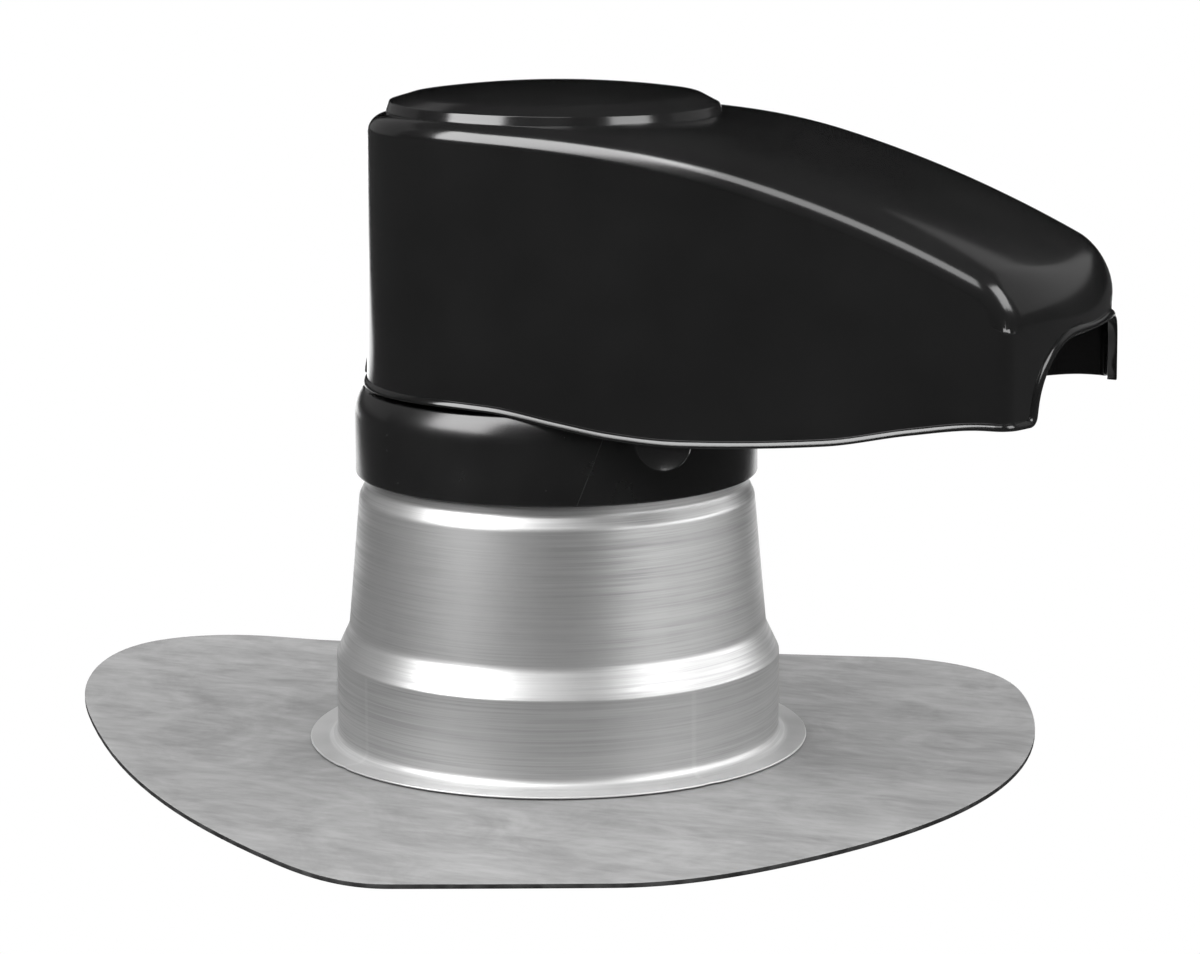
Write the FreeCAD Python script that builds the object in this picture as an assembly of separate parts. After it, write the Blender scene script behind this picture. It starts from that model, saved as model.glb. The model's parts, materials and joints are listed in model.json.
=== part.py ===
import FreeCAD, Part
import math
import os

from FreeCAD import Vector

# Roof flashing with a vent hood: a soft sheet, a spun metal cone, a collar and a moulded hood with a cap.
# Millimetres. Z is the pipe's axis, z = 0 is the underside of the sheet, and the hood's nose points to +X.

# Clearance of pieces that slip into each other
slip_clearance = 0.3

# Vent pipe, and the collar's spigot that takes it
pipe_radius = 62.5
spigot_wall = 2.5
spigot_above_deck = 33.5
spigot_below_deck = 40.8
spigot_root_radius = 2.0

# Sheet: its longest reach from the axis, and the outline as bearings with shares of that reach
sheet_thickness = 2.0
sheet_lap = 5.0
sheet_reach = 272.6
sheet_right_side = (
    (-60.6, 0.851), (-41.6, 0.824), (-13.0, 0.783), (10.8, 0.781),
    (36.5, 0.826), (51.3, 0.856), (64.5, 0.784),
)
sheet_left_side = (
    (145.4, 0.775), (153.6, 0.925), (161.2, 1.0), (177.1, 0.933),
    (-162.2, 0.793), (-122.6, 0.736), (-97.7, 0.825), (-82.1, 0.878),
)

# Spun cone: its wall, the steps of its outside from the neck outwards, and its heights from the sheet up
cone_wall = 1.5
neck_room = 19.2
neck_step = 2.7
taper_spread = 5.4
shoulder_spread = 5.9
flange_width = 12.5
base_height = 40.0
shoulder_height = 12.5
taper_height = 59.5
neck_step_height = 5.5
flange_root_radius = 5.0
base_edge_radius = 2.5
shoulder_root_radius = 10.0
taper_edge_radius = 6.0
neck_root_radius = 4.0

# Collar
collar_wall = 3.7
collar_deck = 3.7
collar_skirt = 38.2
collar_above_neck_step = 4.8
collar_edge_radius = 10.0
collar_foot_radius = 1.0

# Hood: plan at the deck's level, draft of its walls, and heights of the roof's sides above the deck
hood_wall = 2.5
hood_inset = 5.5
hood_side_taper = 1.9
hood_length = 248.2
hood_bow_radius = 200.0
hood_draft = 1.0
hood_edge_radius = 10.0
hood_front_edge_radius = 22.0
roof_height = 122.8
nose_height = 50.4
roof_peak_x = -30.0
roof_crown = 15.0
crown_run = 84.0

# Hood rim: heights above the deck; the low place is measured from the collar's side, the rise from the nose
rim_rear_height = 2.1
rim_rear_run = 6.0
rim_fall_run = 55.2
rim_fall_height = -2.4
rim_foot_run = 31.0
rim_foot_height = -6.8
rim_low_clear = 2.0
rim_low_height = -8.4
rim_rise_run = 91.8
rim_rise_height = -3.8
rim_lift_run = 56.0
rim_lift_height = 2.9
rim_level_run = 22.0
rim_front_height = 6.8
rim_bead_height = 2.5
rim_bead_depth = 1.7

# Opening in the hood's front
arch_foot_width = 121.2
arch_side_lean = 12.0
arch_height = 33.4
arch_corner_radius = 32.0
arch_foot_radius = 5.0

# Finger lugs on the hood's sides and the catch on its back
lug_radius = 12.3
lug_rise = 1.5
lug_back = 7.5
lug_root_radius = 1.5
catch_width = 17.0
catch_depth = 7.4
catch_toe = 8.0
catch_height = 11.5
catch_drop = 1.2
catch_edge_radius = 1.0

# Locating ribs inside the hood
rib_thickness = 2.5
rib_height = 24.0
rib_inner_height = 16.0
rib_foot = 10.7
rib_angles = (60, 100, 140, 180, 220, 260, 300)

# Cap, and the flat seat in the roof that carries it: a pocket in front, a low plinth behind
cap_inset = 10.1
cap_wall = 4.0
cap_skin = 1.8
cap_wall_lean = 1.6
cap_rim_height = 4.6
cap_shoulder_inset = 8.8
cap_shoulder_height = 3.7
cap_dome_height = 4.7
cap_edge_radius = 0.6
cap_shoulder_radius = 14.0
cap_tilt = 0.7
plinth_step = 0.4
seat_drop = 0.2
plinth_ring_height = 1.2
plinth_ring_wall = 2.5

# Radii that follow from the pipe
spigot_bore_radius = pipe_radius + slip_clearance
spigot_radius = spigot_bore_radius + spigot_wall
neck_radius = spigot_radius + neck_room + cone_wall
taper_top_radius = neck_radius + neck_step
shoulder_radius = taper_top_radius + taper_spread
base_radius = shoulder_radius + shoulder_spread
flange_radius = base_radius + flange_width
sheet_hole_radius = base_radius - sheet_lap
skirt_bore_radius = neck_radius + slip_clearance
collar_radius = skirt_bore_radius + collar_wall
hood_rear_radius = collar_radius - hood_inset
cap_radius = hood_rear_radius - cap_inset

# Levels that follow from the sheet upwards
sheet_top = sheet_thickness
flange_top = sheet_top + cone_wall
base_top = sheet_top + base_height
shoulder_top = base_top + shoulder_height
taper_top = shoulder_top + taper_height
neck_bottom = taper_top + neck_step_height
collar_bottom = neck_bottom + collar_above_neck_step
deck_top = collar_bottom + collar_skirt
deck_bottom = deck_top - collar_deck
roof_top = deck_top + roof_height
rim_low = deck_top + rim_low_height
form_bottom = rim_low - 2 * lug_radius

# Places along the nose, and how far cutting bodies pass the hood
rim_low_x = collar_radius + rim_low_clear
lug_x = rim_low_x - lug_back
overshoot = 2 * hood_edge_radius
# How near an edge lies to the place that it is picked by
near = 0.5


def rounded_wire(points, closed):
    """Wire of straight runs and tangent arcs: each point is (a, b, radius) in the XZ plane."""
    count = len(points)
    places = [Vector(a, 0, b) for a, b, radius in points]
    starts = []
    ends = []
    arcs = []
    for i in range(count):
        corner = places[i]
        radius = points[i][2]
        inner = closed or 0 < i < count - 1
        if not inner or radius <= 0:
            starts.append(corner)
            ends.append(corner)
            arcs.append(None)
            continue
        before = (places[i - 1] - corner).normalize()
        after = (places[(i + 1) % count] - corner).normalize()
        half = before.getAngle(after) / 2
        cut = radius / math.tan(half)
        centre = corner + (before + after).normalize() * (radius / math.sin(half))
        first = corner + before * cut
        last = corner + after * cut
        middle = centre + (corner - centre).normalize() * radius
        starts.append(first)
        ends.append(last)
        arcs.append(Part.Arc(first, middle, last).toShape())
    edges = []
    for i in range(count):
        if arcs[i]:
            edges.append(arcs[i])
        if i < count - 1 or closed:
            edges.append(Part.LineSegment(ends[i], starts[(i + 1) % count]).toShape())
    return Part.Wire(edges)


def turned(face):
    """Full turn of a face in the XZ plane about the pipe's axis."""
    return face.revolve(Vector(0, 0, 0), Vector(0, 0, 1), 360)


def across_hood(outline):
    """Body of an outline in the XZ plane that reaches right across the hood."""
    half = hood_rear_radius + overshoot
    face = Part.Face(outline)
    face.translate(Vector(0, -half, 0))
    return face.extrude(Vector(0, 2 * half, 0))


def free_curve(places, first_way, last_way):
    """Smooth edge through places that starts and ends along the given ways."""
    curve = Part.BSplineCurve()
    first = Vector(first_way).normalize()
    last = Vector(last_way).normalize()
    curve.interpolate(Points=places, InitialTangent=first, FinalTangent=last, Scale=False)
    return curve.toShape()


def sheet_place(bearing, share):
    """Place on the sheet's outline."""
    turn = math.radians(bearing)
    return Vector(math.cos(turn), math.sin(turn), 0) * (sheet_reach * share)


def make_sheet():
    # The front and back edges are straight; the two sides are free curves tangent to them.
    right = [sheet_place(bearing, share) for bearing, share in sheet_right_side]
    left = [sheet_place(bearing, share) for bearing, share in sheet_left_side]
    front_way = right[0] - left[-1]
    back_way = left[0] - right[-1]
    edges = [
        Part.LineSegment(left[-1], right[0]).toShape(),
        free_curve(right, front_way, back_way),
        Part.LineSegment(right[-1], left[0]).toShape(),
        free_curve(left, back_way, front_way),
    ]
    sheet = Part.Face(Part.Wire(edges)).extrude(Vector(0, 0, sheet_thickness))
    return sheet.cut(Part.makeCylinder(sheet_hole_radius, sheet_thickness))


def make_cone():
    outside = rounded_wire(
        [
            (flange_radius, flange_top, 0),
            (base_radius, flange_top, flange_root_radius),
            (base_radius, base_top, base_edge_radius),
            (shoulder_radius, shoulder_top, shoulder_root_radius),
            (taper_top_radius, taper_top, taper_edge_radius),
            (neck_radius, neck_bottom, neck_root_radius),
            (neck_radius, deck_bottom, 0),
        ],
        closed=False,
    )
    wall = outside.makeOffset2D(cone_wall, 0, True, True)
    return turned(Part.Face(wall.Faces[0].OuterWire))


def make_collar():
    spigot_top = deck_top + spigot_above_deck
    spigot_bottom = deck_bottom - spigot_below_deck
    section = rounded_wire(
        [
            (collar_radius, collar_bottom, collar_foot_radius),
            (collar_radius, deck_top, collar_edge_radius),
            (spigot_radius, deck_top, spigot_root_radius),
            (spigot_radius, spigot_top, 0),
            (spigot_bore_radius, spigot_top, 0),
            (spigot_bore_radius, spigot_bottom, 0),
            (spigot_radius, spigot_bottom, 0),
            (spigot_radius, deck_bottom, 0),
            (skirt_bore_radius, deck_bottom, 0),
            (skirt_bore_radius, collar_bottom, 0),
        ],
        closed=True,
    )
    return turned(Part.Face(section))


def plan_outline(inset, level):
    """Hood's outline at a level: half round behind, tapered sides and a bowed front; also its corner."""
    turn = math.radians(hood_side_taper)
    drawn_in = inset + (level - deck_top) * math.tan(math.radians(hood_draft))
    radius = hood_rear_radius - drawn_in
    bow_radius = hood_bow_radius - drawn_in
    bow_centre = hood_length - hood_bow_radius
    tangent = Vector(radius * math.sin(turn), radius * math.cos(turn), 0)
    along = Vector(math.cos(turn), -math.sin(turn), 0)
    # The tapered side runs from the tangent to where it meets the bowed front
    offset = tangent - Vector(bow_centre, 0, 0)
    ahead = offset.dot(along)
    reach = math.sqrt(ahead ** 2 - offset.dot(offset) + bow_radius ** 2) - ahead
    corner = tangent + along * reach
    far_tangent = Vector(tangent.x, -tangent.y, 0)
    far_corner = Vector(corner.x, -corner.y, 0)
    edges = [
        Part.Arc(tangent, Vector(-radius, 0, 0), far_tangent).toShape(),
        Part.LineSegment(far_tangent, far_corner).toShape(),
        Part.Arc(far_corner, Vector(bow_centre + bow_radius, 0, 0), corner).toShape(),
        Part.LineSegment(corner, tangent).toShape(),
    ]
    outline = Part.Wire(edges)
    outline.translate(Vector(0, 0, level))
    return outline, corner


def roof_point(x, y):
    """Point of the roof: a long arc towards the nose, and a crown across it that rises under the cap."""
    run = hood_length - roof_peak_x
    fall = roof_height - nose_height
    arc_radius = (run ** 2 + fall ** 2) / (2 * fall)
    arc = math.sqrt(arc_radius ** 2 - (x - roof_peak_x) ** 2) - arc_radius
    share = min(max(x / crown_run, 0), 1)
    blend = share * share * (3 - 2 * share)
    across = 1 - (y / hood_rear_radius) ** 2
    return Vector(x, y, roof_top + arc + roof_crown * blend * across)


def roof_body(inset):
    """Everything below the roof, lowered by the inset."""
    rows = 24
    columns = 8
    half = hood_rear_radius + overshoot
    length = half + hood_length + overshoot
    grid = []
    for i in range(rows + 1):
        x = length * i / rows - half
        grid.append([roof_point(x, half * (2 * j / columns - 1)) for j in range(columns + 1)])
    surface = Part.BSplineSurface()
    surface.interpolate(grid)
    face = surface.toShape()
    face.translate(Vector(0, 0, -inset))
    return face.extrude(Vector(0, 0, -2 * roof_height))


def hood_form(inset):
    """Closed form of the hood, inset from its outside; a negative inset makes it larger."""
    lower, lower_corner = plan_outline(inset, form_bottom)
    upper, corner = plan_outline(inset, roof_top + overshoot)
    body = Part.makeLoft([lower, upper], True, True).common(roof_body(inset))
    # The front's upper edge first, then the run along the sides, round the back and down both corners
    front = [e for e in body.Edges if is_front_top(e, corner)]
    body = body.makeFillet(hood_front_edge_radius - inset, front)
    run = [e for e in body.Edges if is_rounded_run(body, e)]
    return body.makeFillet(hood_edge_radius - inset, run)


def is_front_top(edge, corner):
    """Edge between the bowed front and the roof."""
    box = edge.BoundBox
    return box.XMin > corner.x - near and box.ZMin > form_bottom + near and box.YLength > corner.y


def is_rounded_run(body, edge):
    """Edges between the upright side or back and the roof, the front's rounding or the front."""
    if edge.BoundBox.ZMax < form_bottom + near:
        return False
    faces = body.ancestorsOfType(edge, Part.Face)
    sides = [f for f in faces if is_side_or_back(f)]
    return len(faces) == 2 and len(sides) == 1


def is_side_or_back(face):
    """Nearly upright face that doesn't look towards the nose."""
    upright = 2 * math.sin(math.radians(hood_draft))
    nosewards = 0.5
    u0, u1, v0, v1 = face.ParameterRange
    normal = face.normalAt((u0 + u1) / 2, (v0 + v1) / 2)
    return abs(normal.z) < upright and normal.x < nosewards


def rim_cutter(lift):
    """Everything below the hood's rim and inside its front opening, raised by lift."""
    level = deck_top + lift
    rear = -hood_rear_radius - overshoot
    nose = hood_length + overshoot
    places = [
        Vector(rear, 0, level + rim_rear_height),
        Vector(-hood_rear_radius / 2, 0, level + rim_rear_height),
        Vector(rim_rear_run, 0, level + rim_rear_height),
        Vector(rim_low_x - rim_fall_run, 0, level + rim_fall_height),
        Vector(rim_low_x - rim_foot_run, 0, level + rim_foot_height),
        Vector(rim_low_x, 0, level + rim_low_height),
        Vector(hood_length - rim_rise_run, 0, level + rim_rise_height),
        Vector(hood_length - rim_lift_run, 0, level + rim_lift_height),
        Vector(hood_length - rim_level_run, 0, level + rim_front_height),
        Vector(nose, 0, level + rim_front_height),
    ]
    wave = Part.BSplineCurve()
    wave.interpolate(places)
    low = form_bottom - overshoot
    outline = Part.Wire(
        [
            wave.toShape(),
            Part.LineSegment(places[-1], Vector(nose, 0, low)).toShape(),
            Part.LineSegment(Vector(nose, 0, low), Vector(rear, 0, low)).toShape(),
            Part.LineSegment(Vector(rear, 0, low), places[0]).toShape(),
        ]
    )
    cutter = across_hood(outline).fuse(front_opening(lift))
    feet = [e for e in cutter.Edges if is_arch_foot(e, level + rim_front_height)]
    return cutter.makeFillet(arch_foot_radius - lift, feet)


def front_opening(lift):
    """Arch through the hood's front, widened by lift on all sides."""
    foot = deck_top + rim_front_height
    half_foot = arch_foot_width / 2
    lean = math.tan(math.radians(arch_side_lean))
    spread = half_foot + lift * math.sqrt(1 + lean * lean)
    below = form_bottom - foot
    above = arch_height + lift
    radius = arch_corner_radius + lift
    outline = rounded_wire(
        [
            (spread - lean * below, foot + below, 0),
            (spread - lean * above, foot + above, radius),
            (lean * above - spread, foot + above, radius),
            (lean * below - spread, foot + below, 0),
        ],
        closed=True,
    )
    front = Part.Face(outline)
    front.rotate(Vector(0, 0, 0), Vector(0, 0, 1), 90)
    front.translate(Vector(hood_length + overshoot, 0, 0))
    outline, corner = plan_outline(hood_wall, deck_top)
    return front.extrude(Vector(corner.x - hood_length - 3 * overshoot, 0, 0))


def is_arch_foot(edge, level):
    """Edge where a leg of the front opening meets the rim."""
    box = edge.BoundBox
    beside = abs(abs(box.Center.y) - arch_foot_width / 2) < arch_foot_radius
    return beside and abs(box.Center.z - level) < arch_foot_radius and box.XLength > arch_foot_radius


def lug_body():
    """Half-round finger lug below the rim, blended into it, right across the hood."""
    top = rim_low + rim_bead_height / 2
    centre = Vector(lug_x, 0, rim_low + lug_rise)
    turn = lug_radius + lug_root_radius
    drop = lug_rise + lug_root_radius
    reach = math.sqrt(turn ** 2 - drop ** 2)

    def side(way):
        # Blend of one side, from the rim to the half round
        root = centre + Vector(way * reach, 0, -drop)
        rim = root + Vector(0, 0, lug_root_radius)
        tangent = root + (centre - root).normalize() * lug_root_radius
        middle = root + ((rim - root) + (tangent - root)).normalize() * lug_root_radius
        return rim, middle, tangent

    left = side(-1)
    right = side(1)
    upper_left = Vector(left[0].x, 0, top)
    upper_right = Vector(right[0].x, 0, top)
    outline = Part.Wire(
        [
            Part.Arc(*left).toShape(),
            Part.Arc(left[2], centre - Vector(0, 0, lug_radius), right[2]).toShape(),
            Part.Arc(right[2], right[1], right[0]).toShape(),
            Part.LineSegment(right[0], upper_right).toShape(),
            Part.LineSegment(upper_right, upper_left).toShape(),
            Part.LineSegment(upper_left, left[0]).toShape(),
        ]
    )
    return across_hood(outline)


def make_catch():
    """Wedge on the middle of the hood's back that reaches just below the rim."""
    foot = deck_top + rim_rear_height - catch_drop
    inside = -hood_rear_radius + hood_wall / 2
    outside = -hood_rear_radius - catch_depth
    outline = rounded_wire(
        [
            (inside, foot, 0),
            (outside, foot, catch_edge_radius),
            (outside, foot + catch_toe, catch_edge_radius),
            (inside, foot + catch_height, 0),
        ],
        closed=True,
    )
    face = Part.Face(outline)
    face.translate(Vector(0, -catch_width / 2, 0))
    return face.extrude(Vector(0, catch_width, 0))


def make_rib(angle):
    """Upright rib that stands on the collar's deck and locates the hood on the spigot."""
    inside = spigot_radius + slip_clearance
    outside = hood_rear_radius + hood_length
    foot_end = inside + rib_foot
    rim = rim_rear_height + rim_bead_height
    outline = rounded_wire(
        [
            (inside + spigot_root_radius, deck_top, 0),
            (foot_end, deck_top, 0),
            (foot_end + rim, deck_top + rim, 0),
            (outside, deck_top + rim, 0),
            (outside, deck_top + rib_height, 0),
            (foot_end + rim, deck_top + rib_height, 0),
            (inside, deck_top + rib_inner_height, 0),
            (inside, deck_top + spigot_root_radius, 0),
        ],
        closed=True,
    )
    face = Part.Face(outline)
    face.translate(Vector(0, -rib_thickness / 2, 0))
    rib = face.extrude(Vector(0, rib_thickness, 0))
    rib.rotate(Vector(0, 0, 0), Vector(0, 0, 1), angle)
    return rib


def on_cap_seat(shape):
    """Moves a shape made about the origin to the cap's tilted seat on the roof."""
    shape.rotate(Vector(0, 0, 0), Vector(0, 1, 0), cap_tilt)
    shape.translate(Vector(0, 0, roof_point(0, 0).z - seat_drop))
    return shape


def seat_drum(radius, bottom, top):
    """Round body about the cap's axis, with its levels measured from the seat."""
    return on_cap_seat(Part.makeCylinder(radius, top - bottom, Vector(0, 0, bottom)))


def with_seat(form):
    """Form of the hood with the cap's flat seat, and the ring that centres the cap."""
    step = seat_drum(cap_radius - plinth_step, -roof_crown, 0)
    room = seat_drum(cap_radius + slip_clearance, 0, 2 * roof_crown)
    ring_radius = cap_radius - cap_wall - slip_clearance
    ring = seat_drum(ring_radius, 0, plinth_ring_height)
    ring = ring.cut(seat_drum(ring_radius - plinth_ring_wall, 0, plinth_ring_height))
    return form.fuse(step).cut(room).fuse(ring)


def make_hood():
    outer = hood_form(0)
    middle = hood_form(hood_wall / 2)
    # The hollow stays a wall's thickness below the seat and beside its pocket
    pocket = seat_drum(cap_radius + slip_clearance + hood_wall, -hood_wall, 2 * roof_crown)
    inner = hood_form(hood_wall).cut(pocket)
    below_rim = rim_cutter(0)
    shell = with_seat(outer).cut(inner).cut(below_rim)
    bead = hood_form(-rim_bead_depth).common(rim_cutter(rim_bead_height)).cut(below_rim).cut(inner)
    lugs = outer.cut(inner).common(lug_body())
    ribs = [make_rib(angle).common(middle) for angle in rib_angles]
    return shell.multiFuse([bead, lugs, make_catch()] + ribs).removeSplitter()


def make_cap():
    rim_radius = cap_radius - cap_wall_lean
    shoulder = rim_radius - cap_shoulder_inset
    dome_radius = (shoulder ** 2 + cap_dome_height ** 2) / (2 * cap_dome_height)
    shoulder_level = cap_rim_height + cap_shoulder_height
    centre = shoulder_level + cap_dome_height - dome_radius
    bore = cap_radius - cap_wall

    def on_dome(r, skin):
        return Vector(r, 0, centre + math.sqrt((dome_radius - skin) ** 2 - r * r))

    foot = Vector(cap_radius, 0, 0)
    rim = Vector(rim_radius, 0, cap_rim_height)
    bore_top = Vector(bore, 0, cap_rim_height - cap_skin)
    bore_foot = Vector(bore, 0, 0)
    under_shoulder = on_dome(shoulder, cap_skin)
    section = Part.Wire(
        [
            Part.LineSegment(foot, rim).toShape(),
            Part.LineSegment(rim, on_dome(shoulder, 0)).toShape(),
            Part.Arc(on_dome(shoulder, 0), on_dome(shoulder / 2, 0), on_dome(0, 0)).toShape(),
            Part.LineSegment(on_dome(0, 0), on_dome(0, cap_skin)).toShape(),
            Part.Arc(on_dome(0, cap_skin), on_dome(shoulder / 2, cap_skin), under_shoulder).toShape(),
            Part.LineSegment(under_shoulder, bore_top).toShape(),
            Part.LineSegment(bore_top, bore_foot).toShape(),
            Part.LineSegment(bore_foot, foot).toShape(),
        ]
    )
    cap = turned(Part.Face(section))
    rim_edges = [e for e in cap.Edges if is_level_at(e, cap_rim_height)]
    cap = cap.makeFillet(cap_edge_radius, rim_edges)
    shoulder_edges = [e for e in cap.Edges if is_level_at(e, shoulder_level)]
    return on_cap_seat(cap.makeFillet(cap_shoulder_radius, shoulder_edges))


def is_level_at(edge, z):
    box = edge.BoundBox
    return abs(box.ZMin - z) < near and box.ZLength < near


def save(shape, name):
    shape.exportStep("parts/" + name + ".step")
    print(name, "solids", len(shape.Solids), "valid", shape.isValid(), "volume", round(shape.Volume))


os.makedirs("parts", exist_ok=True)
save(make_sheet(), "flashing_sheet")
save(make_cone(), "flashing_cone")
save(make_collar(), "collar")
save(make_hood(), "hood")
save(make_cap(), "top_cap")
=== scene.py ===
import json
import math

import bpy
from mathutils import Matrix, Vector

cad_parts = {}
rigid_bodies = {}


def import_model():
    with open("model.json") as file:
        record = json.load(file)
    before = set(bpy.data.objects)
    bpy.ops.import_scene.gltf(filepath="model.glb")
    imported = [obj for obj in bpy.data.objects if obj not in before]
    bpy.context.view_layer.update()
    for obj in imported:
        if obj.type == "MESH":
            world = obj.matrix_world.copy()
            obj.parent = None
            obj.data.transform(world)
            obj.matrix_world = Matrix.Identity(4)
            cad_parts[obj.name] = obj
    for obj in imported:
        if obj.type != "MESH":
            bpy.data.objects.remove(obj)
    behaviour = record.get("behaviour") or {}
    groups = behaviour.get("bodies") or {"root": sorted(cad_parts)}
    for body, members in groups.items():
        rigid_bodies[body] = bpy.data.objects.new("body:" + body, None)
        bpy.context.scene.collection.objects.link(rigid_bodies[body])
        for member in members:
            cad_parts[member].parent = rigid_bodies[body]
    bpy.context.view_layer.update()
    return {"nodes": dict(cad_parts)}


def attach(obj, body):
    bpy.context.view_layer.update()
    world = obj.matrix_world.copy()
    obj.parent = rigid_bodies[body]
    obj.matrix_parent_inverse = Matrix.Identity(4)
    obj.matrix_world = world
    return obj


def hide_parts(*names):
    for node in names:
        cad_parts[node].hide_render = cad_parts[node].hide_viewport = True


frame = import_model()
mm = 0.001               # settings below are in millimetres and degrees, meshes are in metres
body = "root"
mergeDistance = 0.001


# Tools that more than one piece uses

def startFresh():
    if bpy.context.object and bpy.context.object.mode != "OBJECT":
        bpy.ops.object.mode_set(mode="OBJECT")
    bpy.ops.object.select_all(action="DESELECT")


def closeUp(piece, smoothAngle):
    # Merge seams and poles, turn the faces outwards and shade
    startFresh()
    piece.select_set(True)
    bpy.context.view_layer.objects.active = piece
    bpy.ops.object.mode_set(mode="EDIT")
    bpy.ops.mesh.select_all(action="SELECT")
    bpy.ops.mesh.remove_doubles(threshold=mergeDistance * mm)
    bpy.ops.mesh.normals_make_consistent(inside=False)
    bpy.ops.object.mode_set(mode="OBJECT")
    bpy.ops.object.shade_smooth_by_angle(angle=math.radians(smoothAngle))


def nameLast(name):
    piece = bpy.context.object
    piece.name = name
    piece.data.name = name
    return piece


def heading(bearing):
    return Vector((math.cos(bearing), math.sin(bearing)))


def smoothStep(share):
    share = min(max(share, 0), 1)
    return share * share * (3 - 2 * share)


def roundedSection(corners, arcSteps=12, support=0.4):
    # Closed section of straight runs and tangent arcs; a corner is (radius, height, rounding)
    places = [Vector((corner[0], corner[1])) for corner in corners]
    bends = []
    for i, corner in enumerate(corners):
        place = places[i]
        before = (places[i - 1] - place).normalized()
        after = (places[(i + 1) % len(places)] - place).normalized()
        rounding = corner[2]
        if rounding <= 0:
            bends.append([place])
            continue
        half = before.angle(after) / 2
        cut = rounding / math.tan(half)
        centre = place + (before + after).normalized() * (rounding / math.sin(half))
        first = place + before * cut - centre
        last = place + after * cut - centre
        sweep = first.angle_signed(last)
        bend = []
        for step in range(arcSteps + 1):
            turn = Matrix.Rotation(-sweep * step / arcSteps, 2)
            bend.append(centre + turn @ first)
        bends.append(bend)
    section = []
    for i, bend in enumerate(bends):
        section += bend
        start = bend[-1]
        end = bends[(i + 1) % len(bends)][0]
        run = end - start
        if run.length > 3 * support:
            # Loops near both ends keep the straight run flat in shading
            section.append(start + run.normalized() * support)
            section.append(end - run.normalized() * support)
    return section


def turnPiece(name, section, steps, smoothAngle=35):
    # A ring of vertices is laid along the section and spun about the pipe's axis
    startFresh()
    bpy.ops.mesh.primitive_circle_add(vertices=len(section), radius=1)
    piece = nameLast(name)
    for vertex, place in zip(piece.data.vertices, section):
        vertex.co = Vector((place.x, 0, place.y)) * mm
    bpy.ops.object.mode_set(mode="EDIT")
    bpy.ops.mesh.select_all(action="SELECT")
    bpy.ops.mesh.spin(steps=steps, angle=2 * math.pi, center=(0, 0, 0), axis=(0, 0, 1))
    closeUp(piece, smoothAngle)
    return piece


def wrapGrid(name, columns, smoothAngle):
    # A grid is wrapped round: each column is a list of points, and all columns have as many
    startFresh()
    across = len(columns) - 1
    along = len(columns[0]) - 1
    bpy.ops.mesh.primitive_grid_add(x_subdivisions=across, y_subdivisions=along, size=2)
    piece = nameLast(name)
    for vertex in piece.data.vertices:
        column = round((vertex.co.x + 1) / 2 * across)
        row = round((vertex.co.y + 1) / 2 * along)
        vertex.co = columns[column][row] * mm
    closeUp(piece, smoothAngle)
    return piece


plateSettings = {"bevelSegments": 3, "bevelAngle": 50, "smoothAngle": 35, "lipInset": 1.2, "lipDepth": 0.5}


def plateFrom(name, outline, place, thickness, edgeBevel, lip=0):
    # A flat outline is filled, given its thickness and any lip, and bevelled, then put in place
    startFresh()
    bpy.ops.mesh.primitive_circle_add(vertices=len(outline), radius=1, fill_type="NGON")
    piece = nameLast(name)
    for vertex, point in zip(piece.data.vertices, outline):
        vertex.co = Vector((point[0], point[1], -thickness / 2)) * mm
    bpy.ops.object.mode_set(mode="EDIT")
    bpy.ops.mesh.select_all(action="SELECT")
    lift = {"value": (0, 0, thickness * mm)}
    bpy.ops.mesh.extrude_region_move(TRANSFORM_OT_translate=lift)
    if lip:
        bpy.ops.mesh.inset(thickness=plateSettings["lipInset"] * lip * mm, depth=0)
        bpy.ops.mesh.inset(thickness=lip * mm, depth=-plateSettings["lipDepth"] * lip * mm)
    bpy.ops.object.mode_set(mode="OBJECT")
    bevel = piece.modifiers.new("edges", "BEVEL")
    bevel.width = edgeBevel * mm
    bevel.segments = plateSettings["bevelSegments"]
    bevel.limit_method = "ANGLE"
    bevel.angle_limit = math.radians(plateSettings["bevelAngle"])
    bpy.ops.object.modifier_apply(modifier=bevel.name)
    piece.data.transform(place)
    closeUp(piece, plateSettings["smoothAngle"])
    return piece


def joinInto(piece, others):
    startFresh()
    for other in others:
        other.select_set(True)
    piece.select_set(True)
    bpy.context.view_layer.objects.active = piece
    bpy.ops.object.join()


def finishPiece(piece, node, slot, *materials):
    piece.data.materials.clear()
    for material in materials:
        piece.data.materials.append(material)
    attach(piece, body)
    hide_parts(node)
    print("made", piece.name, len(piece.data.polygons), "faces")


# Shader groups that several finishes share

def newGroup(name, inputs, outputs):
    group = bpy.data.node_groups.new(name, "ShaderNodeTree")
    for label, value in inputs:
        socket = group.interface.new_socket(name=label, in_out="INPUT", socket_type="NodeSocketFloat")
        socket.default_value = value
    for label, kind in outputs:
        group.interface.new_socket(name=label, in_out="OUTPUT", socket_type=kind)
    start = group.nodes.new("NodeGroupInput")
    end = group.nodes.new("NodeGroupOutput")
    return group, start, end


def addNoise(tree, vector, scale, detail, roughness=0.55, swirl=0.0):
    noise = tree.nodes.new("ShaderNodeTexNoise")
    noise.inputs["Detail"].default_value = detail
    noise.inputs["Roughness"].default_value = roughness
    noise.inputs["Distortion"].default_value = swirl
    if isinstance(scale, (int, float)):
        noise.inputs["Scale"].default_value = scale
    else:
        tree.links.new(scale, noise.inputs["Scale"])
    tree.links.new(vector, noise.inputs["Vector"])
    return noise.outputs["Fac"]


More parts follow.
